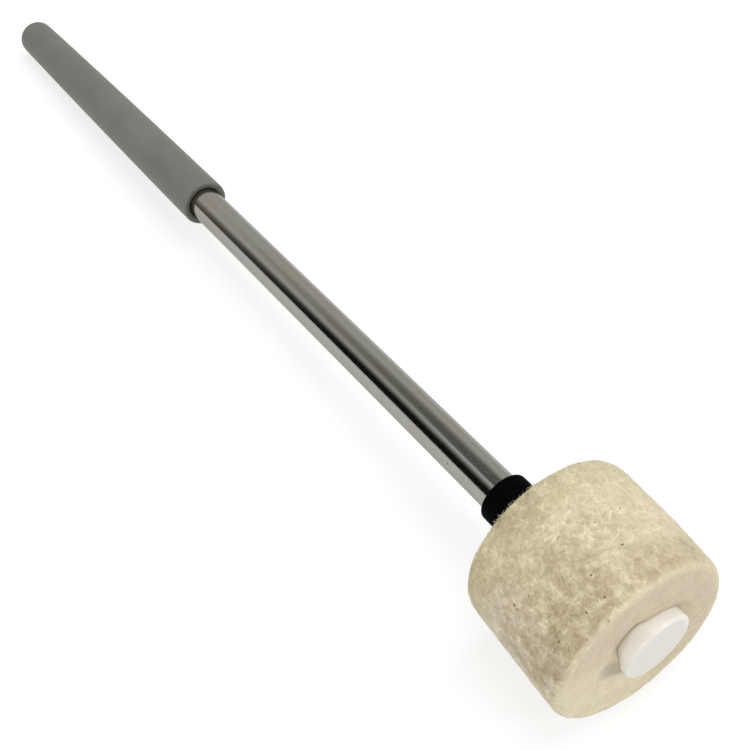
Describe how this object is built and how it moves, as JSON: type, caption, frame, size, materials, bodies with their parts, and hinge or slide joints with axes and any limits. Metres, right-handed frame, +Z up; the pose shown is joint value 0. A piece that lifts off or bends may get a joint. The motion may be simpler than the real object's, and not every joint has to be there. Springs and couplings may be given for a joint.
{
  "type": "marching bass drum mallet",
  "caption": "Marching bass drum mallet with a hard felt cylinder head on a nylon core, black collar, bare metal shaft and swelled rubber grip.",
  "frame": {"origin": "bottom centre of the bounding box, on the surface that the mallet lies on", "axes": "+X along the mallet from butt to head, +Z up; the mallet lies at rest on its felt and its butt, so its own axis rises 3.10 degrees from +X towards the head, and the y = 0 plane holds that axis"},
  "size_m": [0.373, 0.0504, 0.0517],
  "materials": {
    "grey_rubber": "smooth matt moulded rubber",
    "black_plastic": "plain moulded plastic",
    "polished_aluminium": "polished drawn tube with fine lengthwise draw marks",
    "plain_aluminium": "plain turned bar",
    "black_rubber": "matt black rubber",
    "cream_felt": "hard pressed wool felt with flecks and loose fibres",
    "white_nylon": "satin moulded nylon",
    "spring_steel": "plain spring steel"
  },
  "bodies": {
    "root": {"grip_sleeve": "grey_rubber", "shaft_end_plug": "black_plastic", "shaft_tube": "polished_aluminium", "stop_collar": "black_rubber", "felt_head": "cream_felt", "head_core": "white_nylon", "shaft_insert": "plain_aluminium", "retaining_pin": "spring_steel"}
  },
  "joints": []
}
